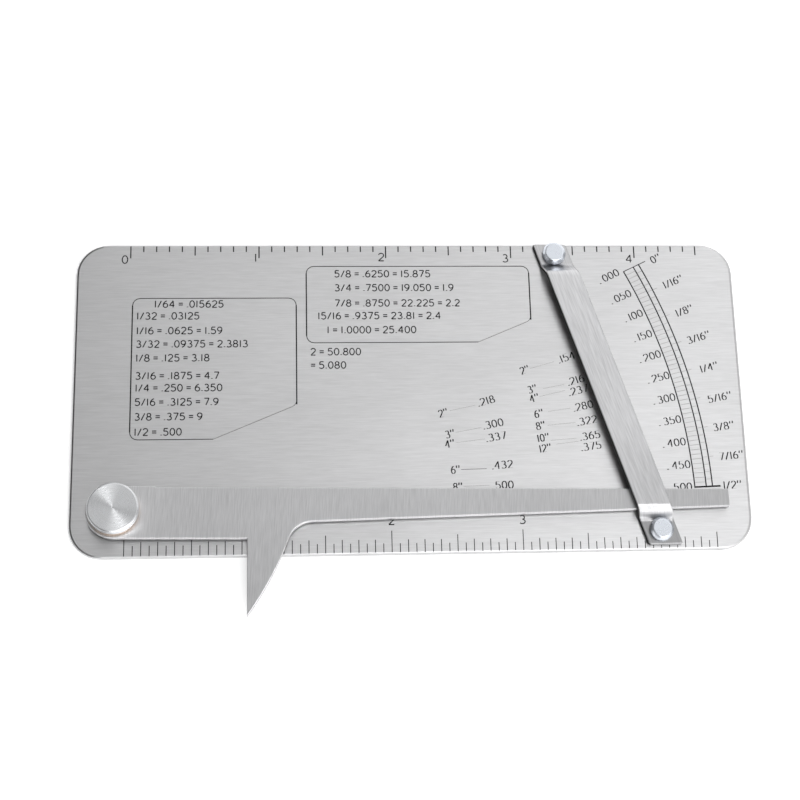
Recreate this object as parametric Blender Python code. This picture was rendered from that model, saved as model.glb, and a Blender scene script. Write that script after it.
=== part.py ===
"""Weld gauge: an engraved steel plate with a pointer arm that turns on a stud under a bent guide strap.

Units are millimetres in the dimensions below and metres in the scene.
The origin is the middle of the plate's back face. +X runs along the rulers to the right, +Y towards
the ruler in tenths of an inch, and +Z out of the engraved face.
"""

import math

import bmesh
import bpy
from mathutils import Matrix, Vector

MM = 0.001
INCH = 25.4

# Plate
PLATE_LENGTH = 132.3
PLATE_WIDTH = 64.1
PLATE_THICKNESS = 1.6
PLATE_CORNER_RADIUS = 6.4
FACE_EDGE_ROUND = 0.6
DATUM_EDGE_ROUND = 0.28
BACK_EDGE_ROUND = 0.2

# Clearances between pieces
SEAT_GAP = 0.15
RUNNING_GAP = 0.2
RIVET_GAP = 0.15
STOP_GAP = 0.15
ARM_HEADROOM = 0.5

# Pivot stud and washers
PIVOT_FROM_LEFT_END = 8.75
PIVOT_ABOVE_DATUM = 8.6
STUD_SHANK_RADIUS = 2.4
STUD_TAIL_RADIUS = 3.45
STUD_TAIL_DEPTH = 1.0
STUD_HEAD_RADIUS = 4.88
STUD_HEAD_HEIGHT = 1.6
STUD_HEAD_ROUND = 0.32
STUD_PIP_RADIUS = 0.2
STUD_PIP_DEPTH = 0.04
TAIL_RECESS = 0.05
HEAD_EDGE_BREAK = 0.05
UPPER_WASHER_RADIUS = 4.7
UPPER_WASHER_THICKNESS = 0.8
LOWER_WASHER_RADIUS = 4.7
LOWER_WASHER_THICKNESS = 0.3
WASHER_EDGE_BREAK = 0.1

# Pointer arm, in its rest place on the lower stop
ARM_THICKNESS = 1.6
ARM_EDGE_ROUND = 0.15
ARM_REST_SLOPE = -0.9
ARM_PAST_SCALE = 2.55
HUB_RADIUS = 5.35
HUB_SHOULDER = 0.22
HUB_SHOULDER_LENGTH = 8.0
READING_EDGE_OFFSET = 4.7
BEAM_ROOT_WIDTH = 6.8
BEAM_ROOT_FROM_TIP = 7.75
BEAM_END_WIDTH = 3.45
TIP_REACH = 25.1
TIP_DROP = 20.5
TOOTH_FLANK_ANGLE = 62.2
TOOTH_FLANK_SWEEP = 16.5
TOOTH_ROOT_RADIUS = 5.0
TOOTH_TIP_FLAT = 0.12

# Guide strap
STRAP_WIDTH = 6.5
STRAP_LEFT_OF_RIVETS = 0.2
STRAP_THICKNESS = 0.9
STRAP_BAR_BEND_RADIUS = 0.9
STRAP_FOOT_BEND_RADIUS = 0.3
STRAP_LOWER_RISER_ANGLE = 70.0
STRAP_UPPER_RISER_ANGLE = 46.0
STRAP_UPPER_RISER_INSET = 7.6
STRAP_UPPER_END_INSET = 0.3
STRAP_LOWER_END_INSET = 0.75
STRAP_CORNER_RADIUS = 0.6
STRAP_EDGE_ROUND = 0.25

# Rivets
RIVET_UPPER_FROM_RIGHT_END = 36.75
RIVET_UPPER_INSET = 2.6
RIVET_LOWER_FROM_RIGHT_END = 18.46
RIVET_LOWER_INSET = 3.7
RIVET_HEAD_RADIUS = 2.35
RIVET_FLAT_RADIUS = 1.78
RIVET_HEAD_HEIGHT = 1.3
RIVET_RIM_HEIGHT = 0.3
RIVET_SHANK_RADIUS = 1.25
RIVET_TAIL_RADIUS = 2.1
RIVET_TAIL_DEPTH = 0.9

# Rulers: both start at the same mark
RULER_START_FROM_LEFT_END = 10.65
RULER_INCHES = 4.5
TENTHS_SHORT = 1.6
TENTHS_HALF = 2.35
TENTHS_INCH = 2.95
SIXTEENTHS_SHORT = 2.3
SIXTEENTHS_EIGHTH = 3.05
SIXTEENTHS_HALF = 3.95
SIXTEENTHS_INCH = 4.8
SIXTEENTHS_SKEW = 0.3

# Curved scale about the pivot
SCALE_FROM_RIGHT_END = 7.4
SCALE_FROM_TOP_EDGE = 4.4
SCALE_INNER_BAND = 2.3
SCALE_OUTER_BAND = 1.25
SCALE_BOTTOM_ANGLE = 1.95
SCALE_THOUSANDTHS = 500
SCALE_THOUSANDTHS_STEP = 10
SCALE_SIXTY_FOURTHS = 32
SCALE_LABEL_STEP = 4
SCALE_LABEL_TICK = 1.0
SCALE_END_TICK = 1.6

# Engraved frames, with their lower right corners cut off
NOTE_FROM_LEFT_END = 11.15
NOTE_FROM_TOP_EDGE = 11.45
NOTE_WIDTH = 32.35
NOTE_HEIGHT = 29.45
NOTE_CUT = (16.3, 6.95)
TABLE_FROM_LEFT_END = 45.35
TABLE_FROM_RIGHT_END = 41.85
TABLE_FROM_TOP_EDGE = 4.65
TABLE_HEIGHT = 16.5
TABLE_CUT = (10.95, 4.7)
FRAME_CORNER_RADIUS = 1.6

# Engraving
TICK_WIDTH = 0.17
FINE_TICK_WIDTH = 0.11
LINE_WIDTH = 0.2
FAINT_LINE_WIDTH = 0.08
TICK_DEPTH = 0.1
FINE_TICK_DEPTH = 0.06
LINE_DEPTH = 0.12
CUT_CLEARANCE = 0.4

# Roundness
TOLERANCE = 1e-6
SHARP_ANGLE = 30.0
SHOULDER_SHARP_ANGLE = 50.0
STRAP_RIM_ANGLE = 60.0
QUARTER_TURN = 90.0
CORNER_STEPS = 8
EDGE_STEPS = 3
STUD_STEPS = 56
RIVET_STEPS = 36
BORE_STEPS = 32
BEND_STEPS = 4
SCALE_STEPS = 32
FLANK_STEPS = 8
FILLET_STEPS = 8
HUB_STEPS = 24

# Places that follow from the dimensions
RIGHT_END = PLATE_LENGTH / 2
LEFT_END = -RIGHT_END
TOP_EDGE = PLATE_WIDTH / 2
DATUM_EDGE = -TOP_EDGE
PIVOT_X = LEFT_END + PIVOT_FROM_LEFT_END
PIVOT_Y = DATUM_EDGE + PIVOT_ABOVE_DATUM
LOWER_WASHER_Z = PLATE_THICKNESS + SEAT_GAP
ARM_Z = LOWER_WASHER_Z + LOWER_WASHER_THICKNESS + SEAT_GAP
ARM_TOP_Z = ARM_Z + ARM_THICKNESS
UPPER_WASHER_Z = ARM_TOP_Z + SEAT_GAP
STUD_HEAD_Z = UPPER_WASHER_Z + UPPER_WASHER_THICKNESS + SEAT_GAP
STRAP_FOOT_Z = PLATE_THICKNESS + SEAT_GAP
STRAP_BAR_Z = ARM_TOP_Z + ARM_HEADROOM
RIVET_HEAD_Z = STRAP_FOOT_Z + STRAP_THICKNESS + SEAT_GAP
RIVET_UPPER = Vector((RIGHT_END - RIVET_UPPER_FROM_RIGHT_END, TOP_EDGE - RIVET_UPPER_INSET))
RIVET_LOWER = Vector((RIGHT_END - RIVET_LOWER_FROM_RIGHT_END, DATUM_EDGE + RIVET_LOWER_INSET))
RULER_START = LEFT_END + RULER_START_FROM_LEFT_END
SCALE_OUTER_RADIUS = RIGHT_END - SCALE_FROM_RIGHT_END - PIVOT_X
SCALE_MIDDLE_RADIUS = SCALE_OUTER_RADIUS - SCALE_OUTER_BAND
SCALE_INNER_RADIUS = SCALE_MIDDLE_RADIUS - SCALE_INNER_BAND
SCALE_TOP_ANGLE = math.degrees(math.asin((TOP_EDGE - SCALE_FROM_TOP_EDGE - PIVOT_Y) / SCALE_OUTER_RADIUS))
SCALE_SPAN = SCALE_TOP_ANGLE - SCALE_BOTTOM_ANGLE
ARM_LENGTH = SCALE_OUTER_RADIUS + ARM_PAST_SCALE
BEAM_ROOT_X = TIP_REACH + BEAM_ROOT_FROM_TIP


def clear_scene():
    for existing in list(bpy.data.objects):
        bpy.data.objects.remove(existing, do_unlink=True)


def metal(name, color, roughness):
    """A plain metal material."""
    material = bpy.data.materials.new(name)
    material.use_nodes = True
    shader = material.node_tree.nodes["Principled BSDF"]
    shader.inputs["Base Color"].default_value = (*color, 1.0)
    shader.inputs["Roughness"].default_value = roughness
    shader.inputs["Metallic"].default_value = 1.0
    return material


def add_object(name, bm, location=(0.0, 0.0, 0.0), material=None, smooth_angle=None):
    """Turn a mesh in millimetres into a named object in metres."""
    bmesh.ops.recalc_face_normals(bm, faces=bm.faces)
    bmesh.ops.scale(bm, vec=(MM, MM, MM), verts=bm.verts)
    mesh = bpy.data.meshes.new(name)
    bm.to_mesh(mesh)
    bm.free()
    if smooth_angle is not None:
        mesh.shade_smooth()
        mesh.set_sharp_from_angle(angle=math.radians(smooth_angle))
    placed = bpy.data.objects.new(name, mesh)
    placed.location = Vector(location) * MM
    if material is not None:
        mesh.materials.append(material)
    bpy.context.scene.collection.objects.link(placed)
    return placed


def add_cutter(name, bm, location=(0.0, 0.0, 0.0)):
    """A cutter is only seen as wire and is never rendered."""
    cutter = add_object(name, bm, location)
    cutter.display_type = "WIRE"
    cutter.hide_render = True
    return cutter


def cut(body, cutter):
    """Cut one object out of another with a live Boolean."""
    modifier = body.modifiers.new(cutter.name, "BOOLEAN")
    modifier.operation = "DIFFERENCE"
    modifier.solver = "EXACT"
    modifier.object = cutter


def arc(centre, radius, start, end, steps):
    """Points on an arc, with its angles in degrees."""
    angles = (math.radians(start + (end - start) * step / steps) for step in range(steps + 1))
    return [Vector((centre[0] + radius * math.cos(a), centre[1] + radius * math.sin(a))) for a in angles]


def fillet(before, corner, after, radius, steps):
    """Points of the arc that rounds the corner between two straight edges."""
    corner = Vector(corner)
    back = (Vector(before) - corner).normalized()
    ahead = (Vector(after) - corner).normalized()
    half = back.angle(ahead) / 2
    centre = corner + (back + ahead).normalized() * radius / math.sin(half)
    start = corner + back * radius / math.tan(half) - centre
    sweep = start.angle_signed(corner + ahead * radius / math.tan(half) - centre)
    return [centre + Matrix.Rotation(-sweep * step / steps, 2) @ start for step in range(steps + 1)]


def bulged(start, end, bulge, steps):
    """Points of the shallow arc from start to end that stands out by bulge on its right side."""
    start, end = Vector(start), Vector(end)
    chord = end - start
    radius = (chord.length_squared / 4 + bulge * bulge) / (2 * bulge)
    right = Vector((chord.y, -chord.x)).normalized()
    centre = (start + end) / 2 - right * (radius - bulge)
    first = start - centre
    sweep = first.angle_signed(end - centre)
    return [centre + Matrix.Rotation(-sweep * step / steps, 2) @ first for step in range(steps + 1)]


def crossing(point, direction, other_point, other_direction):
    """Where two straight lines meet."""
    offset = Vector(other_point) - Vector(point)
    share = offset.cross(Vector(other_direction)) / Vector(direction).cross(Vector(other_direction))
    return Vector(point) + Vector(direction) * share


def slab(outline, bottom, top, bottom_round, top_round, steps):
    """A flat piece from an outline, with its two rims rounded."""
    bm = bmesh.new()
    ring = [bm.verts.new((point[0], point[1], bottom)) for point in outline]
    floor = bm.faces.new(ring)
    raised = bmesh.ops.extrude_face_region(bm, geom=[floor])
    lifted = [item for item in raised["geom"] if isinstance(item, bmesh.types.BMVert)]
    bmesh.ops.translate(bm, verts=lifted, vec=(0.0, 0.0, top - bottom))
    for height, rounding in ((bottom, bottom_round), (top, top_round)):
        rim = [edge for edge in bm.edges if all(abs(vert.co.z - height) < TOLERANCE for vert in edge.verts)]
        bmesh.ops.bevel(bm, geom=rim, offset=rounding, offset_type="OFFSET", segments=steps,
                        profile=0.5, affect="EDGES", clamp_overlap=False)
    return bm


def turned(profile, steps, closed=False):
    """A round piece: a profile of radius and height, spun about the vertical axis."""
    bm = bmesh.new()
    verts = [bm.verts.new((radius, 0.0, height)) for radius, height in profile]
    pairs = list(zip(verts, verts[1:]))
    if closed:
        pairs.append((verts[-1], verts[0]))
    edges = [bm.edges.new(pair) for pair in pairs]
    bmesh.ops.spin(bm, geom=verts + edges, cent=(0.0, 0.0, 0.0), axis=(0.0, 0.0, 1.0),
                   angle=2 * math.pi, steps=steps, use_duplicate=False)
    bmesh.ops.remove_doubles(bm, verts=bm.verts, dist=1e-5)
    return bm


def ring_washer(inner, outer, thickness):
    """A washer with its outer rim broken by a small chamfer on each face."""
    profile = [
        (inner, 0.0),
        (outer - WASHER_EDGE_BREAK, 0.0),
        (outer, WASHER_EDGE_BREAK),
        (outer, thickness - WASHER_EDGE_BREAK),
        (outer - WASHER_EDGE_BREAK, thickness),
        (inner, thickness),
    ]
    return turned(profile, STUD_STEPS, closed=True)


def rounded_rectangle(length, width, radius):
    """Outline of the plate, counter-clockwise."""
    across, up = length / 2 - radius, width / 2 - radius
    points = []
    for turn, (side_x, side_y) in enumerate(((1, 1), (-1, 1), (-1, -1), (1, -1))):
        start = QUARTER_TURN * turn
        points += arc((side_x * across, side_y * up), radius, start, start + QUARTER_TURN, CORNER_STEPS)
    return points


def add_groove(bm, start, end, width, depth):
    """A straight groove as a box that stands above the plate's face."""
    start, end = Vector(start), Vector(end)
    run = end - start
    middle = (start + end) / 2
    height = depth + CUT_CLEARANCE
    place = Matrix.Translation((middle.x, middle.y, PLATE_THICKNESS - depth + height / 2))
    turn = Matrix.Rotation(math.atan2(run.y, run.x), 4, "Z")
    size = Matrix.Diagonal((run.length, width, height, 1.0))
    bmesh.ops.create_cube(bm, size=1.0, matrix=place @ turn @ size)


def add_ribbon(bm, inner, outer, depth, closed):
    """A curved groove between two rows of points."""
    floor, roof = PLATE_THICKNESS - depth, PLATE_THICKNESS + CUT_CLEARANCE
    rows = []
    for near, far in zip(inner, outer):
        corners = ((near, floor), (far, floor), (far, roof), (near, roof))
        rows.append([bm.verts.new((point[0], point[1], height)) for point, height in corners])
    following = rows[1:] + rows[:1] if closed else rows[1:]
    for row, ahead in zip(rows, following):
        for side in range(4):
            bm.faces.new((row[side], row[side - 1], ahead[side - 1], ahead[side]))
    if not closed:
        bm.faces.new(rows[0])
        bm.faces.new(reversed(rows[-1]))


def scale_point(radius, angle):
    """A point of the curved scale, from its radius about the pivot and its angle."""
    return arc((PIVOT_X, PIVOT_Y), radius, angle, angle, 1)[0]


def ruler_marks(bm):
    """Tenths of an inch along the top edge and sixteenths along the datum edge."""
    for tenth in range(round(RULER_INCHES * 10) + 1):
        x = RULER_START + tenth * INCH / 10
        length = TENTHS_SHORT
        if tenth % 5 == 0:
            length = TENTHS_HALF
        if tenth % 10 == 0:
            length = TENTHS_INCH
        add_groove(bm, (x, TOP_EDGE - length), (x, TOP_EDGE + CUT_CLEARANCE), TICK_WIDTH, TICK_DEPTH)
    for sixteenth in range(round(RULER_INCHES * 16) + 1):
        x = RULER_START + sixteenth * INCH / 16
        length = SIXTEENTHS_SHORT
        if sixteenth % 2 == 0:
            length = SIXTEENTHS_EIGHTH
        if sixteenth % 8 == 0:
            length = SIXTEENTHS_HALF
        if sixteenth % 16 == 0:
            length = SIXTEENTHS_INCH
        top = DATUM_EDGE + length - (x - RULER_START) * math.tan(math.radians(SIXTEENTHS_SKEW))
        add_groove(bm, (x, DATUM_EDGE - CUT_CLEARANCE), (x, top), TICK_WIDTH, TICK_DEPTH)


def curved_scale_marks(bm):
    """Marks every ten thousandths inside the middle line and every 1/64 inch outside it."""
    margin = LINE_WIDTH
    count = SCALE_THOUSANDTHS // SCALE_THOUSANDTHS_STEP
    for mark in range(1, count):
        angle = SCALE_TOP_ANGLE - SCALE_SPAN * mark / count
        inner = scale_point(SCALE_INNER_RADIUS + margin, angle)
        outer = scale_point(SCALE_MIDDLE_RADIUS - margin, angle)
        add_groove(bm, inner, outer, FINE_TICK_WIDTH, FINE_TICK_DEPTH)
    for mark in range(1, SCALE_SIXTY_FOURTHS):
        angle = SCALE_TOP_ANGLE - SCALE_SPAN * mark / SCALE_SIXTY_FOURTHS
        inner = scale_point(SCALE_MIDDLE_RADIUS + margin, angle)
        outer = scale_point(SCALE_OUTER_RADIUS - margin, angle)
        add_groove(bm, inner, outer, FINE_TICK_WIDTH, FINE_TICK_DEPTH)
        if mark % SCALE_LABEL_STEP == 0:
            inner = scale_point(SCALE_OUTER_RADIUS + margin, angle)
            outer = scale_point(SCALE_OUTER_RADIUS + SCALE_LABEL_TICK, angle)
            add_groove(bm, inner, outer, FINE_TICK_WIDTH, FINE_TICK_DEPTH)
    for angle in (SCALE_TOP_ANGLE, SCALE_TOP_ANGLE - SCALE_SPAN):
        inner = scale_point(SCALE_INNER_RADIUS - LINE_WIDTH / 2, angle)
        outer = scale_point(SCALE_OUTER_RADIUS + SCALE_END_TICK, angle)
        add_groove(bm, inner, outer, TICK_WIDTH, TICK_DEPTH)


def curved_scale_lines(bm):
    """The three long lines of the curved scale."""
    for radius in (SCALE_INNER_RADIUS, SCALE_MIDDLE_RADIUS, SCALE_OUTER_RADIUS):
        sides = []
        for side in (radius - LINE_WIDTH / 2, radius + LINE_WIDTH / 2):
            bottom_angle = SCALE_TOP_ANGLE - SCALE_SPAN
            sides.append(arc((PIVOT_X, PIVOT_Y), side, SCALE_TOP_ANGLE, bottom_angle, SCALE_STEPS))
        add_ribbon(bm, sides[0], sides[1], LINE_DEPTH, closed=False)


def frame_outline(left, right, top, height, corner_cut, inset, cut_inset):
    """Outline of an engraved frame with three round corners and one cut corner."""
    bottom = top - height
    radius = FRAME_CORNER_RADIUS
    steps = CORNER_STEPS // 2
    points = []
    for turn, centre in enumerate((
        (right - radius, top - radius),
        (left + radius, top - radius),
        (left + radius, bottom + radius),
    )):
        start = QUARTER_TURN * turn
        points += arc(centre, radius - inset, start, start + QUARTER_TURN, steps)
    along = Vector(corner_cut)
    inward = Vector((-along.y, along.x)).normalized() * cut_inset
    cut_start = Vector((right - corner_cut[0], bottom)) + inward
    low = crossing(cut_start, along, Vector((left, bottom + inset)), Vector((1.0, 0.0)))
    high = crossing(cut_start, along, Vector((right - inset, bottom)), Vector((0.0, 1.0)))
    return points + [low] + fillet(low, high, points[0], radius - inset, steps)


def add_frame(bm, left, right, top, height, corner_cut):
    """The groove of one engraved frame, faint along its cut corner."""
    inner = frame_outline(left, right, top, height, corner_cut, TICK_WIDTH, FAINT_LINE_WIDTH)
    outer = frame_outline(left, right, top, height, corner_cut, 0.0, 0.0)
    add_ribbon(bm, inner, outer, LINE_DEPTH, closed=True)


def note_frame(bm):
    left = LEFT_END + NOTE_FROM_LEFT_END
    add_frame(bm, left, left + NOTE_WIDTH, TOP_EDGE - NOTE_FROM_TOP_EDGE, NOTE_HEIGHT, NOTE_CUT)


def table_frame(bm):
    left = LEFT_END + TABLE_FROM_LEFT_END
    right = RIGHT_END - TABLE_FROM_RIGHT_END
    add_frame(bm, left, right, TOP_EDGE - TABLE_FROM_TOP_EDGE, TABLE_HEIGHT, TABLE_CUT)


def engraving_cutters():
    """One cutter for each group of marks, so that groups may cross."""
    cutters = []
    for name, draw in (
        ("note_frame_cutter", note_frame),
        ("table_frame_cutter", table_frame),
        ("ruler_cutter", ruler_marks),
        ("scale_line_cutter", curved_scale_lines),
        ("scale_mark_cutter", curved_scale_marks),
    ):
        bm = bmesh.new()
        draw(bm)
        cutters.append(add_cutter(name, bm))
    return cutters


def countersunk_cutter(name, place, shank, tail, depth, gap):
    """Through hole with a countersink in the back face for a flush tail."""
    below, above = -CUT_CLEARANCE, PLATE_THICKNESS + CUT_CLEARANCE
    profile = [
        (0.0, above),
        (shank + gap, above),
        (shank + gap, depth + gap),
        (tail + gap, 0.0),
        (tail + gap, below),
        (0.0, below),
    ]
    return add_cutter(name, turned(profile, BORE_STEPS), (place[0], place[1], 0.0))


def sharpen_datum_edge(bm):
    """Shrink the face's rounding towards the datum edge, where the gauge is set against the work."""
    across, up = RIGHT_END - PLATE_CORNER_RADIUS, TOP_EDGE - PLATE_CORNER_RADIUS
    for vert in bm.verts:
        depth = PLATE_THICKNESS - vert.co.z
        if depth > FACE_EDGE_ROUND + TOLERANCE:
            continue
        centre = Vector((max(-across, min(across, vert.co.x)), max(-up, min(up, vert.co.y))))
        outward = vert.co.xy - centre
        facing = max(0.0, -outward.normalized().y)
        share = 1 - (1 - DATUM_EDGE_ROUND / FACE_EDGE_ROUND) * facing ** 2
        inset = (PLATE_CORNER_RADIUS - outward.length) * share
        vert.co.xy = centre + outward.normalized() * (PLATE_CORNER_RADIUS - inset)
        vert.co.z = PLATE_THICKNESS - depth * share
    bm.normal_update()
    bent = []
    for face in bm.faces:
        start = face.verts[0].co
        if any(abs((vert.co - start).dot(face.normal)) > TOLERANCE for vert in face.verts):
            bent.append(face)
    bmesh.ops.triangulate(bm, faces=bent)


def base_plate(material):
    outline = rounded_rectangle(PLATE_LENGTH, PLATE_WIDTH, PLATE_CORNER_RADIUS)
    bm = slab(outline, 0.0, PLATE_THICKNESS, BACK_EDGE_ROUND, FACE_EDGE_ROUND, EDGE_STEPS)
    sharpen_datum_edge(bm)
    plate = add_object("base_plate", bm, material=material)
    cutters = [
        countersunk_cutter("stud_hole_cutter", (PIVOT_X, PIVOT_Y), STUD_SHANK_RADIUS, STUD_TAIL_RADIUS,
                           STUD_TAIL_DEPTH, RIVET_GAP),
        countersunk_cutter("upper_hole_cutter", RIVET_UPPER, RIVET_SHANK_RADIUS, RIVET_TAIL_RADIUS,
                           RIVET_TAIL_DEPTH, RIVET_GAP),
        countersunk_cutter("lower_hole_cutter", RIVET_LOWER, RIVET_SHANK_RADIUS, RIVET_TAIL_RADIUS,
                           RIVET_TAIL_DEPTH, RIVET_GAP),
    ]
    cutters += engraving_cutters()
    for cutter in cutters:
        cut(plate, cutter)
    return plate


def reading_edge(x):
    """Height of the arm's reading edge over the pivot, at a distance x to its right."""
    slope = math.radians(ARM_REST_SLOPE)
    return READING_EDGE_OFFSET / math.cos(slope) + x * math.tan(slope)


def beam_line():
    """A point and the direction of the beam's lower edge."""
    root = Vector((BEAM_ROOT_X, reading_edge(BEAM_ROOT_X) - BEAM_ROOT_WIDTH))
    end = Vector((ARM_LENGTH, reading_edge(ARM_LENGTH) - BEAM_END_WIDTH))
    return root, end - root


def beam_lower_edge(x):
    root, direction = beam_line()
    return root.y + (x - root.x) * direction.y / direction.x


def heading(degrees):
    return Vector((math.cos(math.radians(degrees)), math.sin(math.radians(degrees))))


def tooth_flank(tip, end_bottom):
    """The bulged flank of the tooth from its tip, and the fillet that leads from it into the beam."""
    leaving = heading(TOOTH_FLANK_ANGLE + TOOTH_FLANK_SWEEP / 2)
    root_point, root_direction = beam_line()
    setback = leaving * TOOTH_ROOT_RADIUS * math.tan(leaving.angle(root_direction) / 2)
    corner = crossing(tip + setback, heading(TOOTH_FLANK_ANGLE), root_point, root_direction)
    top = corner - setback
    bulge = (top - tip).length / 2 * math.tan(math.radians(TOOTH_FLANK_SWEEP / 4))
    flank = bulged(tip, top, bulge, FLANK_STEPS)
    root = fillet(top, corner, end_bottom, TOOTH_ROOT_RADIUS, FILLET_STEPS)
    return flank + root[1:]


def arm_outline():
    """Outline of the pointer arm about its pivot, counter-clockwise from the beam's lower end corner."""
    slope = math.radians(ARM_REST_SLOPE)
    along = Vector((math.cos(slope), math.sin(slope)))
    end_top = Vector((ARM_LENGTH, reading_edge(ARM_LENGTH)))
    end_bottom = Vector((ARM_LENGTH, beam_lower_edge(ARM_LENGTH)))
    shoulder = Vector((HUB_SHOULDER_LENGTH, reading_edge(HUB_SHOULDER_LENGTH)))
    lip = shoulder + Vector((-2 * HUB_SHOULDER, HUB_SHOULDER))
    lip_angle = math.degrees(math.acos((READING_EDGE_OFFSET + HUB_SHOULDER) / HUB_RADIUS))
    hub_start = QUARTER_TURN + ARM_REST_SLOPE - lip_angle
    hub = arc((0.0, 0.0), HUB_RADIUS, hub_start, 3 * QUARTER_TURN + ARM_REST_SLOPE, HUB_STEPS)
    heel = crossing(hub[-1], along, (TIP_REACH, 0.0), (0.0, 1.0))
    tip = Vector((TIP_REACH, -TIP_DROP))
    flank = tooth_flank(tip + Vector((TOOTH_TIP_FLAT, 0.0)), end_bottom)
    return [end_bottom, end_top, shoulder, lip, *hub, heel, tip, *flank]


def pointer_arm(material):
    bm = slab(arm_outline(), 0.0, ARM_THICKNESS, ARM_EDGE_ROUND, ARM_EDGE_ROUND, 2)
    pointer = add_object("pointer_arm", bm, (PIVOT_X, PIVOT_Y, ARM_Z), material)
    bore = STUD_SHANK_RADIUS + RUNNING_GAP
    profile = [
        (0.0, ARM_TOP_Z + SEAT_GAP),
        (bore, ARM_TOP_Z + SEAT_GAP),
        (bore, ARM_Z - SEAT_GAP),
        (0.0, ARM_Z - SEAT_GAP),
    ]
    cut(pointer, add_cutter("arm_bore_cutter", turned(profile, BORE_STEPS), (PIVOT_X, PIVOT_Y, 0.0)))
    return pointer


def pivot_stud(material):
    """Turned stud: flush tail, shank and a flat head with a rounded rim and a centre pip."""
    top = STUD_HEAD_Z + STUD_HEAD_HEIGHT
    rim = STUD_HEAD_RADIUS - STUD_HEAD_ROUND
    rounding = arc((rim, top - STUD_HEAD_ROUND), STUD_HEAD_ROUND, QUARTER_TURN, 0.0, EDGE_STEPS)
    profile = [
        (0.0, top - STUD_PIP_DEPTH),
        (STUD_PIP_RADIUS, top),
        *rounding,
        (STUD_HEAD_RADIUS, STUD_HEAD_Z + HEAD_EDGE_BREAK),
        (STUD_HEAD_RADIUS - HEAD_EDGE_BREAK, STUD_HEAD_Z),
        (STUD_SHANK_RADIUS, STUD_HEAD_Z),
        (STUD_SHANK_RADIUS, STUD_TAIL_DEPTH),
        (STUD_TAIL_RADIUS, TAIL_RECESS),
        (0.0, TAIL_RECESS),
    ]
    solid = turned(profile, STUD_STEPS)
    return add_object("pivot_stud", solid, (PIVOT_X, PIVOT_Y, 0.0), material, SHARP_ANGLE)


def washers(bronze, stainless):
    bore = STUD_SHANK_RADIUS + RUNNING_GAP
    upper = ring_washer(bore, UPPER_WASHER_RADIUS, UPPER_WASHER_THICKNESS)
    lower = ring_washer(bore, LOWER_WASHER_RADIUS, LOWER_WASHER_THICKNESS)
    add_object("upper_washer", upper, (PIVOT_X, PIVOT_Y, UPPER_WASHER_Z), bronze, SHARP_ANGLE)
    add_object("lower_washer", lower, (PIVOT_X, PIVOT_Y, LOWER_WASHER_Z), stainless, SHARP_ANGLE)


def rivet(name, place, material):
    """Rivet with a flat topped head, a round shoulder and a flush countersunk tail."""
    top = RIVET_HEAD_Z + RIVET_HEAD_HEIGHT
    rim = RIVET_HEAD_Z + RIVET_RIM_HEIGHT
    shoulder = []
    for step in range(1, BEND_STEPS + 1):
        angle = math.pi / 2 * (1 - step / BEND_STEPS)
        across = RIVET_FLAT_RADIUS + (RIVET_HEAD_RADIUS - RIVET_FLAT_RADIUS) * math.cos(angle)
        shoulder.append((across, rim + (top - rim) * math.sin(angle)))
    profile = [
        (0.0, top),
        (RIVET_FLAT_RADIUS, top),
        *shoulder,
        (RIVET_HEAD_RADIUS - HEAD_EDGE_BREAK, RIVET_HEAD_Z),
        (RIVET_SHANK_RADIUS, RIVET_HEAD_Z),
        (RIVET_SHANK_RADIUS, RIVET_TAIL_DEPTH),
        (RIVET_TAIL_RADIUS, TAIL_RECESS),
        (0.0, TAIL_RECESS),
    ]
    solid = turned(profile, RIVET_STEPS)
    return add_object(name, solid, (place.x, place.y, 0.0), material, SHOULDER_SHARP_ANGLE)


def strap_centre_x(y):
    """The strap's middle line runs along both rivets, a little to their left."""
    share = (y - RIVET_LOWER.y) / (RIVET_UPPER.y - RIVET_LOWER.y)
    return RIVET_LOWER.x + (RIVET_UPPER.x - RIVET_LOWER.x) * share - STRAP_LEFT_OF_RIVETS


def strap_half_span():
    """Half of the strap's width, measured along X."""
    lean = math.atan2(RIVET_UPPER.x - RIVET_LOWER.x, RIVET_UPPER.y - RIVET_LOWER.y)
    return STRAP_WIDTH / 2 / math.cos(lean)


def strap_path():
    """Middle line of the strap's section in Y and Z, from its lower end to its upper end."""
    half = STRAP_THICKNESS / 2
    foot, bar = STRAP_FOOT_Z + half, STRAP_BAR_Z + half
    low_slope = math.tan(math.radians(STRAP_LOWER_RISER_ANGLE))
    high_slope = math.tan(math.radians(STRAP_UPPER_RISER_ANGLE))
    stop_x = strap_centre_x(PIVOT_Y) - strap_half_span()
    stop = PIVOT_Y + beam_lower_edge(stop_x - PIVOT_X) - STOP_GAP
    stop -= half / math.sin(math.radians(STRAP_LOWER_RISER_ANGLE))
    high_bar = TOP_EDGE - STRAP_UPPER_RISER_INSET
    corners = [Vector(point) for point in (
        (DATUM_EDGE + STRAP_LOWER_END_INSET, foot),
        (stop - (ARM_TOP_Z - foot) / low_slope, foot),
        (stop + (bar - ARM_TOP_Z) / low_slope, bar),
        (high_bar, bar),
        (high_bar + (bar - foot) / high_slope, foot),
        (TOP_EDGE - STRAP_UPPER_END_INSET, foot),
    )]
    path = [corners[0]]
    for before, corner, after in zip(corners, corners[1:], corners[2:]):
        radius = STRAP_FOOT_BEND_RADIUS if corner.y == foot else STRAP_BAR_BEND_RADIUS
        path += fillet(before, corner, after, radius + half, BEND_STEPS)
    path.append(corners[-1])
    return path


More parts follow.
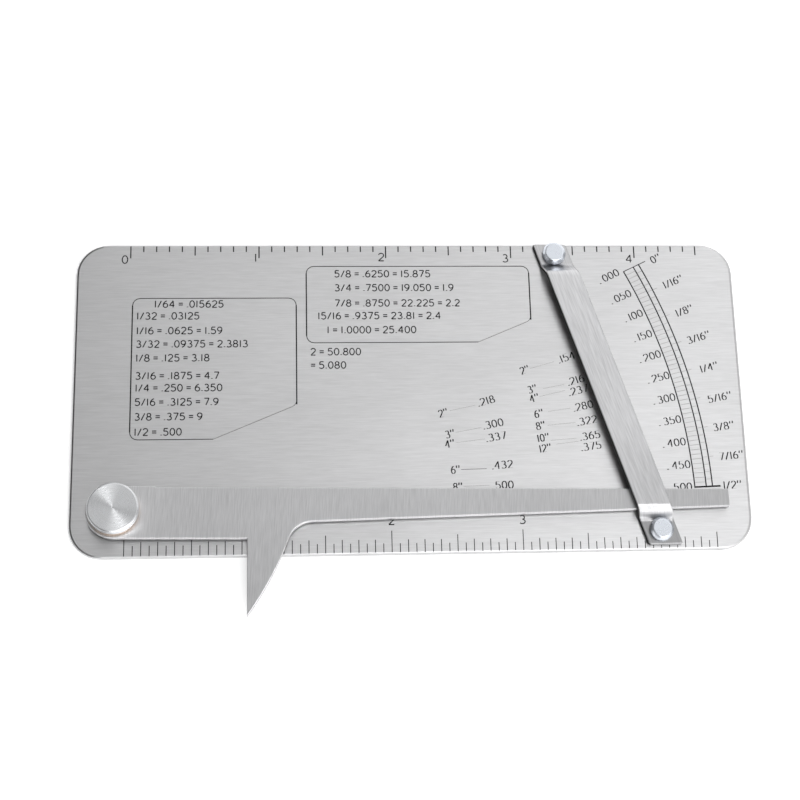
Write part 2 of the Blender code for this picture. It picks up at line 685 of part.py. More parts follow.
def strap_rows():
    """Corners of the strap's cross-section at each point of its middle line."""
    path = strap_path()
    runs = [(ahead - point).normalized() for point, ahead in zip(path, path[1:])]
    rows = []
    for point, before, after in zip(path, runs[:1] + runs, runs + runs[-1:]):
        mean = (before + after).normalized()
        normal = Vector((-mean.y, mean.x)) * STRAP_THICKNESS / 2 / mean.dot(before)
        rows.append((point - normal, point + normal))
    return rows


def guide_strap(material):
    """Bent strap: a bar over the arm and two feet on the plate, cut level with the plate's edges."""
    bm = bmesh.new()
    span = strap_half_span()
    rings = []
    for under, over in strap_rows():
        corners = ((under, -span), (under, span), (over, span), (over, -span))
        places = [(strap_centre_x(point.x) + side, point.x, point.y) for point, side in corners]
        rings.append([bm.verts.new(place) for place in places])
    for ring, ahead in zip(rings, rings[1:]):
        for side in range(4):
            bm.faces.new((ring[side - 1], ring[side], ahead[side], ahead[side - 1]))
    bm.faces.new(rings[0])
    bm.faces.new(reversed(rings[-1]))
    bmesh.ops.recalc_face_normals(bm, faces=bm.faces)
    end_corners = []
    for ring in (rings[0], rings[-1]):
        for low, high in ((ring[0], ring[3]), (ring[1], ring[2])):
            end_corners.append(bm.edges.get((low, high)))
    bmesh.ops.bevel(bm, geom=end_corners, offset=STRAP_CORNER_RADIUS, offset_type="OFFSET",
                    segments=BEND_STEPS, profile=0.5, affect="EDGES", clamp_overlap=False)
    rims = [edge for edge in bm.edges if edge.calc_face_angle(0.0) > math.radians(STRAP_RIM_ANGLE)]
    bmesh.ops.bevel(bm, geom=rims, offset=STRAP_EDGE_ROUND, offset_type="OFFSET", segments=2,
                    profile=0.5, affect="EDGES", clamp_overlap=False)
    strap = add_object("guide_strap", bm, material=material)
    for name, place in (("upper_foot_cutter", RIVET_UPPER), ("lower_foot_cutter", RIVET_LOWER)):
        radius = RIVET_SHANK_RADIUS + RIVET_GAP
        low, high = PLATE_THICKNESS, RIVET_HEAD_Z + SEAT_GAP
        profile = [(0.0, high), (radius, high), (radius, low), (0.0, low)]
        cut(strap, add_cutter(name, turned(profile, BORE_STEPS // 2), (place.x, place.y, 0.0)))
    return strap


def main():
    clear_scene()
    plate_steel = metal("plate_steel", (0.60, 0.60, 0.60), 0.34)
    arm_steel = metal("arm_steel", (0.52, 0.52, 0.53), 0.32)
    strap_steel = metal("strap_steel", (0.50, 0.50, 0.51), 0.30)
    stud_metal = metal("stud_metal", (0.66, 0.67, 0.68), 0.25)
    bronze = metal("bronze", (0.62, 0.38, 0.22), 0.35)
    zinc = metal("zinc", (0.76, 0.79, 0.82), 0.28)
    base_plate(plate_steel)
    pointer_arm(arm_steel)
    pivot_stud(stud_metal)
    washers(bronze, arm_steel)
    guide_strap(strap_steel)
    rivet("rivet_upper", RIVET_UPPER, zinc)
    rivet("rivet_lower", RIVET_LOWER, zinc)


main()
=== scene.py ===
"""Weld gauge, dressed: brushed steels, engraved figures, a turned stud, zinc rivets and a small studio."""

import math

import bpy
from bpy.props import FloatProperty, FloatVectorProperty, PointerProperty
from bpy.types import NodeSocket, Operator, Panel, PropertyGroup
from mathutils import Matrix, Vector


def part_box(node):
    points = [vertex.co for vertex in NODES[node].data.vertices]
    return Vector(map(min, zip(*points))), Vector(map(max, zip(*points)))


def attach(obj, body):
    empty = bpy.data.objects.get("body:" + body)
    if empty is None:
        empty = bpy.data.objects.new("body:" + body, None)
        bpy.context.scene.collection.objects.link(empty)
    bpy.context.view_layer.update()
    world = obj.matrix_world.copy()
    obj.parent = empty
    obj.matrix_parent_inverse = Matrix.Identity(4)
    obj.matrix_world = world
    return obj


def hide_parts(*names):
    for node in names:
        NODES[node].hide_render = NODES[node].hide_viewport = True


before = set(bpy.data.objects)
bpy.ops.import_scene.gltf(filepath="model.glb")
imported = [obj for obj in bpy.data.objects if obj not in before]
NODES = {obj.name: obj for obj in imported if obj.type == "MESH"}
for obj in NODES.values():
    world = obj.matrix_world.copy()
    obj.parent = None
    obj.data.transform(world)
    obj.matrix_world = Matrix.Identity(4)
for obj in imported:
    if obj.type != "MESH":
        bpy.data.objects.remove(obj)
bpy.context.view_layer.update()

bl_info = {
    "name": "Weld gauge",
    "version": (1, 0, 0),
    "blender": (4, 5, 0),
    "location": "3D View > Sidebar > Weld gauge",
    "description": "Finishes the weld gauge's metals, engraves its figures and sets up its studio",
    "category": "Object",
}

MM = 0.001
INCH = 25.4 * MM

# Places read from the frame
PLATE_LOW, PLATE_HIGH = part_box("base_plate")
FACE_Z = PLATE_HIGH.z
PIVOT = sum(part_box("pivot_stud"), Vector()) / 2
RIVET_UPPER = sum(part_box("rivet_upper"), Vector()) / 2
RIVET_LOWER = sum(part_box("rivet_lower"), Vector()) / 2
STRAP_TURN = math.atan2(RIVET_LOWER.x - RIVET_UPPER.x, RIVET_UPPER.y - RIVET_LOWER.y)

# The plate's outline and engraving, as in the frame
PLATE_CORNER = 6.4 * MM
FACE_ROUND = 0.6 * MM
DATUM_ROUND = 0.28 * MM
PAINT_DEPTH = 0.02 * MM
EDGE_MARGIN = 0.01 * MM
PAINT_SPECULAR = 0.2
PAINT_PAST_FLAT = 0.28 * MM
FAINT_DEPTH = 0.07 * MM
FULL_DEPTH = 0.09 * MM
RULER_START = PLATE_LOW.x + 10.65 * MM
SCALE_OUTER = PLATE_HIGH.x - 7.4 * MM - PIVOT.x
SCALE_TOP_TURN = math.asin((PLATE_HIGH.y - 4.4 * MM - PIVOT.y) / SCALE_OUTER)
SCALE_BOTTOM_TURN = math.radians(1.95)
SCALE_READING = 0.5
SCALE_OUTER_BAND = 1.25 * MM
SCALE_INNER_BAND = 2.3 * MM
SCALE_END_REACH = (-3.65 * MM, 1.6 * MM)
SCALE_STEPS = 32
RULER_TENTHS = 45
TENTHS_SHORT = 1.6 * MM
TENTHS_HALF = 2.35 * MM
TENTHS_INCH = 2.95 * MM
TENTHS_FROM_EDGE = 0.45 * MM
NOTE_LEFT = PLATE_LOW.x + 11.15 * MM
NOTE_WIDTH = 32.35 * MM
NOTE_TOP = PLATE_HIGH.y - 11.45 * MM
NOTE_HEIGHT = 29.45 * MM
NOTE_CUT_RISE = 6.95 * MM
TABLE_LEFT = PLATE_LOW.x + 45.35 * MM
TABLE_RIGHT = PLATE_HIGH.x - 41.85 * MM
TABLE_TOP = PLATE_HIGH.y - 4.65 * MM
TABLE_HEIGHT = 16.5 * MM
TABLE_CUT_RISE = 4.7 * MM
FRAME_CORNER = 1.6 * MM
FRAME_LINE_HALF = 0.085 * MM

# Brushing: waves a metre along, across and through the grain, and each piece's share of the contrast
FINE_WAVES = (280.0, 4300.0, 280.0)
BROAD_WAVES = (70.0, 1700.0, 70.0)
CLOUD_WAVES = (35.0, 35.0, 35.0)
BAND_SHARE = 0.3
CLOUD_SHARE = 0.5
ROUGHNESS_SPREAD = 0.015
ARM_GRAIN_TURN = math.radians(87.0)
ARM_GRAIN_SHARE = 1.6
STRAP_GRAIN_SHARE = 2.1
RING_CONTRAST = 0.2
SPANGLE_WAVES = (1400.0, 1400.0, 1400.0)
PAINT_WAVES = (900.0, 900.0, 900.0)

# Tones of the steel, as shares of its colour: along the pieces, and painted shade on undersides, low on the
# arm's side walls, on the strap's side edges and on its feet
ARM_HUB_TONE = 1.13
ARM_END_TONE = 0.85
STRAP_LOW_TONE = 0.96
STRAP_HIGH_TONE = 1.13
UNDERSIDE_SHADE = 0.25
EDGE_SHADE_TONE = 0.15
ARM_WALL_SHADE_TOP = 2.95 * MM
ARM_WALL_SHADE_BLEND = 0.1 * MM
UPPER_FOOT_SHADE = 0.86
LOWER_FOOT_SHADE = 0.68
STRAP_FOOT_SHADE_RISE = 1.1 * MM
STRAP_FOOT_SHADE_BLEND = 0.3 * MM
STRAP_ROUGHNESS = 0.3
RISER_ROUGHNESS = 0.55
RISER_LIFT = 0.36

# The rivets' sizes, as in the frame, but with a conical shoulder and a slightly wider flat
RIVET_HEAD_RADIUS = 2.35 * MM
RIVET_FLAT_RADIUS = 1.84 * MM
RIVET_HEAD_HEIGHT = 1.3 * MM
RIVET_SHOULDER_HEIGHT = 0.75 * MM
RIVET_FLAT_RIM = 0.25 * MM
RIVET_SHANK_RADIUS = 1.25 * MM
RIVET_TAIL_RADIUS = 2.1 * MM
RIVET_TAIL_DEPTH = 0.9 * MM
TURNED_SIDES = 72
TURNED_EDGE = 0.1 * MM

# Figures: distances from the plate's middle, in millimetres
TOP_FIGURES = (
    (0, -1.12, 28.83), (1, -0.67, 29.21), (2, -0.92, 29.33), (3, -1.12, 29.05), (4, -1.12, 28.93),
)
LOWER_FIGURES = ((2, 0.0, -25.5), (3, 0.0, -25.7))
THOUSANDTHS_RADIUS = 110.0
SIXTEENTHS_RADIUS = 120.65
THOUSANDTHS_STEP = 50
# How far each reading and each fraction stands off its place, to the right and up
THOUSANDTHS_SHIFTS = (
    (-0.85, 0.1), (-0.6, -0.2), (0.0, 0.0), (0.0, 0.0), (-0.2, 0.0), (0.0, 0.0), (-0.15, 0.0), (-0.15, 0.0),
    (-0.25, 0.0), (-0.1, 0.0), (-0.3, 0.15),
)
SIXTEENTHS_SHIFTS = (
    (-0.48, -0.7), (0.15, 0.0), (-0.3, -0.42), (0.2, -0.17), (0.16, -0.46), (0.48, -0.62), (-0.26, -0.42),
    (0.1, -0.2), (-0.55, 0.1),
)
NOTE_ROWS = (
    (-50.6, 19.3, "1/64 = .015625"),
    (-54.0, 16.8, "1/32 = .03125"),
    (-54.0, 13.7, "1/16 = .0625 = 1.59"),
    (-54.0, 10.9, "3/32 = .09375 = 2.3813"),
    (-54.0, 8.0, "1/8 = .125 = 3.18"),
    (-54.0, 4.3, "3/16 = .1875 = 4.7"),
    (-54.0, 1.8, "1/4 = .250 = 6.350"),
    (-54.0, -1.1, "5/16 = .3125 = 7.9"),
    (-54.0, -4.1, "3/8 = .375 = 9"),
    (-54.0, -7.2, "1/2 = .500"),
)
TABLE_ROWS = (
    (-15.0, 25.7, "5/8 = .6250 = 15.875"),
    (-15.0, 22.7, "3/4 = .7500 = 19.050 = 1.9"),
    (-15.0, 19.4, "7/8 = .8750 = 22.225 = 2.2"),
    (-18.4, 16.7, "15/16 = .9375 = 23.81 = 2.4"),
    (-16.6, 13.7, "1 = 1.0000 = 25.400"),
    (-19.9, 9.1, "2 = 50.800"),
    (-19.9, 6.3, "= 5.080"),
)
# Wall thickness rows: size, its middle, reading in thousandths, its middle, and the leader line's two ends
HEAVY_ROWS = (
    ("2", (5.9, -3.86), 218, (14.5, -1.42), (7.2, -3.4), (12.3, -2.3)),
    ("3", (7.1, -8.19), 300, (15.7, -6.2), (8.3, -7.87), (13.4, -6.91)),
    ("4", (7.0, -10.2), 337, (16.2, -8.84), (8.2, -10.0), (14.0, -9.26)),
    ("6", (7.95, -15.5), 432, (17.2, -14.6), (9.1, -15.47), (14.1, -15.36)),
    ("8", (8.3, -18.95), 500, (17.2, -18.7), (9.5, -18.9), (14.6, -18.7)),
)
STANDARD_ROWS = (
    ("2", (22.45, 5.0), 154, (30.95, 7.6), (23.6, 5.3), (28.5, 6.75)),
    ("3", (23.8, 0.98), 216, (32.6, 2.8), (26.0, 1.04), (30.3, 1.91)),
    ("4", (24.1, -0.93), 237, (33.0, 0.68), (25.2, -0.6), (30.4, 0.64)),
    ("6", (24.85, -4.15), 280, (33.8, -2.63), (26.8, -3.74), (31.3, -3.06)),
    ("8", (25.1, -6.65), 322, (34.4, -5.69), (26.5, -6.6), (32.2, -6.03)),
    ("10", (25.5, -9.15), 365, (34.85, -8.8), (27.0, -9.7), (32.2, -9.32)),
    ("12", (25.8, -11.3), 375, (34.95, -10.98), (28.1, -10.5), (32.5, -9.95)),
)


def bow(centre_x, centre_y, across, up, start, end, steps=10):
    """Points of a round stroke from one angle to another, in degrees."""
    turns = (math.radians(start + (end - start) * step / steps) for step in range(steps + 1))
    return [(centre_x + across * math.cos(turn), centre_y + up * math.sin(turn)) for turn in turns]


# Each figure's width and its strokes, for a height of one
GLYPHS = {
    "0": (0.5, [bow(0.25, 0.5, 0.25, 0.5, 90, 450, 16)]),
    "1": (0.16, [[(0.08, 1.0), (0.08, 0.0)]]),
    "2": (0.5, [bow(0.25, 0.73, 0.24, 0.27, 165, -38) + [(0.0, 0.0)], [(0.0, 0.0), (0.5, 0.0)]]),
    "3": (0.5, [bow(0.23, 0.76, 0.2, 0.24, 145, -90), bow(0.23, 0.26, 0.26, 0.26, 90, -145)]),
    "4": (0.54, [[(0.4, 0.0), (0.4, 1.0)], [(0.4, 1.0), (0.0, 0.3)], [(0.0, 0.3), (0.54, 0.3)]]),
    "5": (0.5, [
        [(0.46, 1.0), (0.08, 1.0)], [(0.08, 1.0), (0.04, 0.56)], bow(0.22, 0.32, 0.27, 0.32, 132, -145),
    ]),
    "6": (0.5, [bow(0.26, 0.3, 0.24, 0.3, 90, 450, 14), bow(0.5, 0.32, 0.48, 0.68, 178, 102)]),
    "7": (0.5, [[(0.0, 1.0), (0.5, 1.0)], [(0.5, 1.0), (0.17, 0.0)]]),
    "8": (0.5, [bow(0.25, 0.76, 0.2, 0.24, 90, 450, 12), bow(0.25, 0.26, 0.25, 0.26, 90, 450, 14)]),
    "9": (0.5, [bow(0.24, 0.7, 0.24, 0.3, 90, 450, 14), bow(0.0, 0.68, 0.48, 0.68, -2, -78)]),
    ".": (0.1, [[(0.05, 0.0), (0.05, 0.1)]]),
    "/": (0.36, [[(0.0, 0.0), (0.36, 1.0)]]),
    '"': (0.38, [[(0.06, 1.05), (0.02, 0.72)], [(0.38, 1.05), (0.34, 0.72)]]),
    "=": (0.46, [[(0.0, 0.64), (0.46, 0.64)], [(0.0, 0.36), (0.46, 0.36)]]),
    " ": (0.06, []),
}
GLYPH_GAP = 0.2
DOT_WEIGHT = 1.4
STEEP_WEIGHT = 1.6
RADIAL_FADE = 0.15
RULER_STRETCH = 1.3
READING_STRETCH = 1.22
FRACTION_STRETCH = 1.15
WALL_STRETCH = 1.2
ROW_STRETCH = 1.28

# Strokes are round curves of this radius, thinned to their pen and pressed flat
STROKE_RADIUS = 1.0 * MM
STROKE_FLATNESS = 0.15
TICK_FILL = 0.24 * MM
LINE_FILL = 0.25 * MM
END_FILL = 0.34 * MM
LEADER_FAINT = 0.035 * MM
LEADER_HEAVY = 0.09 * MM
HEAVY_LEADER_READING = 432


class GaugeFinish(PropertyGroup):
    """Colours and grain of the gauge's metals."""

    plate_colour: FloatVectorProperty(
        name="Plate colour", description="Colour of the brushed plate", subtype="COLOR",
        size=3, min=0.0, max=1.0, default=(0.55, 0.55, 0.556))
    arm_colour: FloatVectorProperty(
        name="Arm colour", description="Colour of the pointer arm", subtype="COLOR",
        size=3, min=0.0, max=1.0, default=(0.70, 0.70, 0.71))
    strap_colour: FloatVectorProperty(
        name="Strap colour", description="Colour of the guide strap", subtype="COLOR",
        size=3, min=0.0, max=1.0, default=(0.59, 0.59, 0.60))
    stud_colour: FloatVectorProperty(
        name="Stud colour", description="Colour of the turned stud", subtype="COLOR",
        size=3, min=0.0, max=1.0, default=(0.78, 0.79, 0.805))
    bronze_colour: FloatVectorProperty(
        name="Bronze colour", description="Colour of the washer under the stud's head", subtype="COLOR",
        size=3, min=0.0, max=1.0, default=(0.55, 0.40, 0.29))
    zinc_colour: FloatVectorProperty(
        name="Zinc colour", description="Colour of the plated rivets", subtype="COLOR",
        size=3, min=0.0, max=1.0, default=(0.70, 0.735, 0.79))
    paint_colour: FloatVectorProperty(
        name="Paint colour", description="Colour of the dark filling in the engraving", subtype="COLOR",
        size=3, min=0.0, max=1.0, default=(0.014, 0.0135, 0.014))
    grain_contrast: FloatProperty(
        name="Grain contrast", description="Strength of the brushing's light and dark streaks",
        default=0.26, min=0.0, max=1.0, subtype="FACTOR")


class GaugeFigures(PropertyGroup):
    """Sizes of the engraved figures."""

    ruler_height: FloatProperty(
        name="Ruler figures", description="Height of the rulers' inch figures",
        default=1.65 * MM, min=0.5 * MM, max=4.0 * MM, unit="LENGTH", precision=5)
    scale_height: FloatProperty(
        name="Scale figures", description="Height of the curved scale's figures",
        default=1.5 * MM, min=0.5 * MM, max=4.0 * MM, unit="LENGTH", precision=5)
    row_height: FloatProperty(
        name="Row figures", description="Height of the figures in the engraved frames",
        default=1.4 * MM, min=0.5 * MM, max=4.0 * MM, unit="LENGTH", precision=5)
    pen_width: FloatProperty(
        name="Pen width", description="Width of the engraved strokes",
        default=0.22 * MM, min=0.05 * MM, max=0.5 * MM, unit="LENGTH", precision=5)
    scale_pen_width: FloatProperty(
        name="Scale pen width", description="Width of the engraved strokes beside the curved scale",
        default=0.24 * MM, min=0.05 * MM, max=0.5 * MM, unit="LENGTH", precision=5)


class GaugeStudio(PropertyGroup):
    """Light and ground around the gauge."""

    tent_level: FloatProperty(
        name="Tent level", description="Brightness of the soft tent round the gauge",
        default=1.0, min=0.0, max=4.0)
    lamp_level: FloatProperty(
        name="Lamp level", description="Brightness of the round lamp overhead in front",
        default=6.0, min=0.0, max=12.0)
    floor_colour: FloatVectorProperty(
        name="Floor colour", description="Colour of the floor", subtype="COLOR",
        size=3, min=0.0, max=1.0, default=(0.84, 0.84, 0.84))
    floor_glow: FloatProperty(
        name="Floor glow", description="Light added to the floor where it is seen or mirrored",
        default=0.5, min=0.0, max=1.0)


def add_node(tree, kind, sockets=None, **settings):
    """A new node, with its settings, and with values or links on its inputs."""
    node = tree.nodes.new(kind)
    for name, value in settings.items():
        setattr(node, name, value)
    for name, value in (sockets or {}).items():
        if isinstance(value, NodeSocket):
            tree.links.new(value, node.inputs[name])
        else:
            node.inputs[name].default_value = value
    return node


def math_node(tree, operation, first, second=0.0, third=0.0):
    return add_node(tree, "ShaderNodeMath", {0: first, 1: second, 2: third}, operation=operation).outputs[0]


def vector_node(tree, operation, first, second=(0.0, 0.0, 0.0)):
    return add_node(tree, "ShaderNodeVectorMath", {0: first, 1: second}, operation=operation)


def remap(tree, value, low, high, to_low, to_high, smooth=False):
    sockets = {"Value": value, "From Min": low, "From Max": high, "To Min": to_low, "To Max": to_high}
    kind = "SMOOTHSTEP" if smooth else "LINEAR"
    return add_node(tree, "ShaderNodeMapRange", sockets, interpolation_type=kind).outputs["Result"]


def new_metal(name):
    """A metal material, its node tree and its shader."""
    material = bpy.data.materials.new(name)
    material.use_nodes = True
    tree = material.node_tree
    shader = tree.nodes["Principled BSDF"]
    shader.inputs["Metallic"].default_value = 1.0
    return material, tree, shader


def object_place(tree):
    return add_node(tree, "ShaderNodeTexCoord").outputs["Object"]


def noise(tree, place, turn, grain, detail=2.0):
    """Noise with so many waves a metre along and across a grain that is turned about Z."""
    pitch = tuple(1.0 / waves for waves in grain)
    sockets = {"Vector": place, "Rotation": (0.0, 0.0, turn), "Scale": pitch}
    mapping = add_node(tree, "ShaderNodeMapping", sockets, vector_type="TEXTURE")
    return add_node(tree, "ShaderNodeTexNoise",
                    {"Vector": mapping.outputs["Vector"], "Scale": 1.0, "Detail": detail}).outputs["Fac"]


def tinted(tree, colour, tone):
    """A colour made lighter or darker by a tone about one."""
    scaled = add_node(tree, "ShaderNodeVectorMath", {0: colour}, operation="SCALE")
    tree.links.new(tone, scaled.inputs["Scale"])
    return scaled.outputs["Vector"]


def grain_tangent(tree, shader, direction):
    """Brushing spreads a highlight across itself: the direction is given in the piece's own axes."""
    across = add_node(tree, "ShaderNodeCombineXYZ", {"X": direction[0], "Y": direction[1], "Z": 0.0})
    turned = add_node(tree, "ShaderNodeVectorTransform", {"Vector": across.outputs["Vector"]},
                      vector_type="VECTOR", convert_from="OBJECT", convert_to="WORLD")
    tree.links.new(turned.outputs["Vector"], shader.inputs["Tangent"])


def brush(tree, shader, colour, turn, contrast, roughness, bump):
    """Brushed finish, its grain turned from X by an angle. Returns colour and roughness for more layers."""
    place = object_place(tree)
    fine = noise(tree, place, turn, FINE_WAVES)
    broad = noise(tree, place, turn, BROAD_WAVES, 3.0)
    cloud = noise(tree, place, 0.0, CLOUD_WAVES, 1.0)
    band = contrast * BAND_SHARE
    patch = contrast * CLOUD_SHARE
    streaks = math_node(tree, "MULTIPLY_ADD", fine, contrast, 1.0 - contrast / 2)
    bands = math_node(tree, "MULTIPLY_ADD", broad, band, -band / 2)
    drift = math_node(tree, "MULTIPLY_ADD", cloud, patch, -patch / 2)
    tone = math_node(tree, "ADD", math_node(tree, "ADD", streaks, bands), drift)
    painted = tinted(tree, tuple(colour), tone)
    tree.links.new(painted, shader.inputs["Base Color"])
    rough = remap(tree, broad, 0.3, 0.7, roughness - ROUGHNESS_SPREAD, roughness + ROUGHNESS_SPREAD)
    tree.links.new(rough, shader.inputs["Roughness"])
    relief = add_node(tree, "ShaderNodeBump", {"Height": fine, "Strength": bump, "Distance": 0.01 * MM})
    tree.links.new(relief.outputs["Normal"], shader.inputs["Normal"])
    grain_tangent(tree, shader, (-math.sin(turn), math.cos(turn)))
    return painted, rough


def engraving_mask(tree):
    """One in the engraved grooves of the face, and how dark their filling is."""
    place = object_place(tree)
    axes = add_node(tree, "ShaderNodeSeparateXYZ", {"Vector": place}).outputs
    height = axes["Z"]
    half = (PLATE_HIGH - PLATE_LOW) / 2
    shift = (FACE_ROUND - DATUM_ROUND) / 2
    shifted = vector_node(tree, "ADD", place, (0.0, shift, 0.0)).outputs["Vector"]
    absolute = vector_node(tree, "ABSOLUTE", shifted).outputs["Vector"]
    limit = (half.x - PLATE_CORNER, half.y - PLATE_CORNER + shift, 1.0)
    past = vector_node(tree, "SUBTRACT", absolute, limit)
    outside = vector_node(tree, "MAXIMUM", past.outputs["Vector"]).outputs["Vector"]
    reach = vector_node(tree, "LENGTH", outside).outputs["Value"]
    past_flat = math_node(tree, "SUBTRACT", reach, PLATE_CORNER - FACE_ROUND)
    run = math_node(tree, "MAXIMUM", past_flat, 0.0)
    squared = math_node(tree, "SUBTRACT", FACE_ROUND ** 2, math_node(tree, "POWER", run, 2.0))
    chord = math_node(tree, "SQRT", squared)
    on_rounding = math_node(tree, "GREATER_THAN", run, 0.0)
    margin = math_node(tree, "MULTIPLY_ADD", on_rounding, EDGE_MARGIN, PAINT_DEPTH)
    surface = math_node(tree, "ADD", chord, FACE_Z - FACE_ROUND)
    below = math_node(tree, "LESS_THAN", height, math_node(tree, "SUBTRACT", surface, margin))
    upper_half = math_node(tree, "GREATER_THAN", axes["Y"], 0.0)
    painted_reach = math_node(tree, "MULTIPLY", upper_half, PAINT_PAST_FLAT)
    inside = math_node(tree, "LESS_THAN", past_flat, painted_reach)
    depth = remap(tree, height, FACE_Z - FULL_DEPTH, FACE_Z - FAINT_DEPTH, 1.0, 0.4)
    return math_node(tree, "MULTIPLY", math_node(tree, "MULTIPLY", below, inside), depth)


def plate_metal(finish):
    """Steel brushed along the rulers, with dark filled engraving."""
    material, tree, shader = new_metal("plate_steel_brushed")
    shader.inputs["Anisotropic"].default_value = 0.8
    shader.inputs["Specular IOR Level"].default_value = PAINT_SPECULAR
    painted, rough = brush(tree, shader, finish.plate_colour, turn=0.0, contrast=finish.grain_contrast,
                           roughness=0.3, bump=0.25)
    mask = engraving_mask(tree)
    filled = add_node(tree, "ShaderNodeMix", {0: mask, 6: painted, 7: (*finish.paint_colour, 1.0)},
                      data_type="RGBA")
    tree.links.new(filled.outputs[2], shader.inputs["Base Color"])
    tree.links.new(math_node(tree, "SUBTRACT", 1.0, mask), shader.inputs["Metallic"])
    matt = add_node(tree, "ShaderNodeMix", {0: mask, 2: rough, 3: 0.6}, data_type="FLOAT")
    tree.links.new(matt.outputs[0], shader.inputs["Roughness"])
    return material


def underside_tone(tree):
    """Painted shade: one on faces that look up or sideways, less on those that look down."""
    normal = add_node(tree, "ShaderNodeTexCoord").outputs["Normal"]
    up = add_node(tree, "ShaderNodeSeparateXYZ", {"Vector": normal}).outputs["Z"]
    return remap(tree, up, -0.7, -0.2, UNDERSIDE_SHADE, 1.0, smooth=True), normal


def arm_metal(finish):
    """Steel brushed across the arm, paler at the hub, with painted shade underneath and low on its side
    walls.
    """
    material, tree, shader = new_metal("arm_steel_brushed")
    shader.inputs["Anisotropic"].default_value = 0.8
    painted, _ = brush(tree, shader, finish.arm_colour, turn=ARM_GRAIN_TURN,
                       contrast=finish.grain_contrast * ARM_GRAIN_SHARE, roughness=0.36, bump=0.25)
    axes = add_node(tree, "ShaderNodeSeparateXYZ", {"Vector": object_place(tree)}).outputs
    drift = remap(tree, axes["X"], PLATE_LOW.x, PLATE_HIGH.x, ARM_HUB_TONE, ARM_END_TONE)
    under_shade, normal = underside_tone(tree)
    # Painted shade: the side walls are darkened below a height, so the gap under the arm looks dark
    up = add_node(tree, "ShaderNodeSeparateXYZ", {"Vector": normal}).outputs["Z"]
    wall_shade = remap(tree, math_node(tree, "ABSOLUTE", up), 0.3, 0.6, EDGE_SHADE_TONE, 1.0, smooth=True)
    side = remap(tree, axes["Z"], ARM_WALL_SHADE_TOP - ARM_WALL_SHADE_BLEND, ARM_WALL_SHADE_TOP + ARM_WALL_SHADE_BLEND, wall_shade, 1.0)
    tone = math_node(tree, "MULTIPLY", math_node(tree, "MULTIPLY", drift, under_shade), side)
    tree.links.new(tinted(tree, painted, tone), shader.inputs["Base Color"])
    return material


def strap_tone(tree):
    """Painted shade on the side edges, the underside and the feet, a slow change along the strap, and the
    normal used.
    """
    under_shade, normal = underside_tone(tree)
    # Painted shade: the strap's side edges are darkened
    across = (math.cos(STRAP_TURN), math.sin(STRAP_TURN), 0.0)
    toward_edge = vector_node(tree, "DOT_PRODUCT", normal, across).outputs["Value"]
    edge_shade = remap(tree, math_node(tree, "ABSOLUTE", toward_edge), 0.3, 0.75, 1.0, EDGE_SHADE_TONE, smooth=True)
    axes = add_node(tree, "ShaderNodeSeparateXYZ", {"Vector": object_place(tree)}).outputs
    # Painted shade: the feet below the bends are darkened, the lower foot more than the upper
    foot_shade_tone = remap(tree, axes["Y"], -MM, MM, LOWER_FOOT_SHADE, UPPER_FOOT_SHADE)
    foot_top = FACE_Z + STRAP_FOOT_SHADE_RISE
    foot_shade = remap(tree, axes["Z"], foot_top, foot_top + STRAP_FOOT_SHADE_BLEND, foot_shade_tone, 1.0)
    along = remap(tree, axes["Y"], PLATE_LOW.y, PLATE_HIGH.y, STRAP_LOW_TONE, STRAP_HIGH_TONE)
    painted_shade = math_node(tree, "MULTIPLY", under_shade, edge_shade)
    return math_node(tree, "MULTIPLY", painted_shade, math_node(tree, "MULTIPLY", foot_shade, along)), normal


def soften_riser(tree, shader, normal, rough):
    """The bend that rises towards the datum edge is stretched: rougher, and its shading turned upwards."""
    facing = add_node(tree, "ShaderNodeSeparateXYZ", {"Vector": normal}).outputs["Y"]
    riser = remap(tree, facing, -0.9, -0.6, 1.0, 0.0, smooth=True)
    rougher = math_node(tree, "MULTIPLY_ADD", riser, RISER_ROUGHNESS - STRAP_ROUGHNESS, rough)
    tree.links.new(rougher, shader.inputs["Roughness"])
    lift = add_node(tree, "ShaderNodeCombineXYZ", {"Z": math_node(tree, "MULTIPLY", riser, RISER_LIFT)})
    upright = add_node(tree, "ShaderNodeNewGeometry").outputs["Normal"]
    raised = vector_node(tree, "ADD", upright, lift.outputs["Vector"]).outputs["Vector"]
    lifted = vector_node(tree, "NORMALIZE", raised).outputs["Vector"]
    relief = shader.inputs["Normal"].links[0].from_node
    tree.links.new(lifted, relief.inputs["Normal"])


def strap_metal(finish):
    """Steel brushed along the strap, with painted shade on its side edges, underside and feet."""
    material, tree, shader = new_metal("strap_steel_brushed")
    shader.inputs["Anisotropic"].default_value = 0.7
    painted, rough = brush(tree, shader, finish.strap_colour, turn=math.pi / 2 + STRAP_TURN,
                           contrast=finish.grain_contrast * STRAP_GRAIN_SHARE, roughness=STRAP_ROUGHNESS,
                           bump=0.2)
    tone, normal = strap_tone(tree)
    tree.links.new(tinted(tree, painted, tone), shader.inputs["Base Color"])
    soften_riser(tree, shader, normal, rough)
    return material


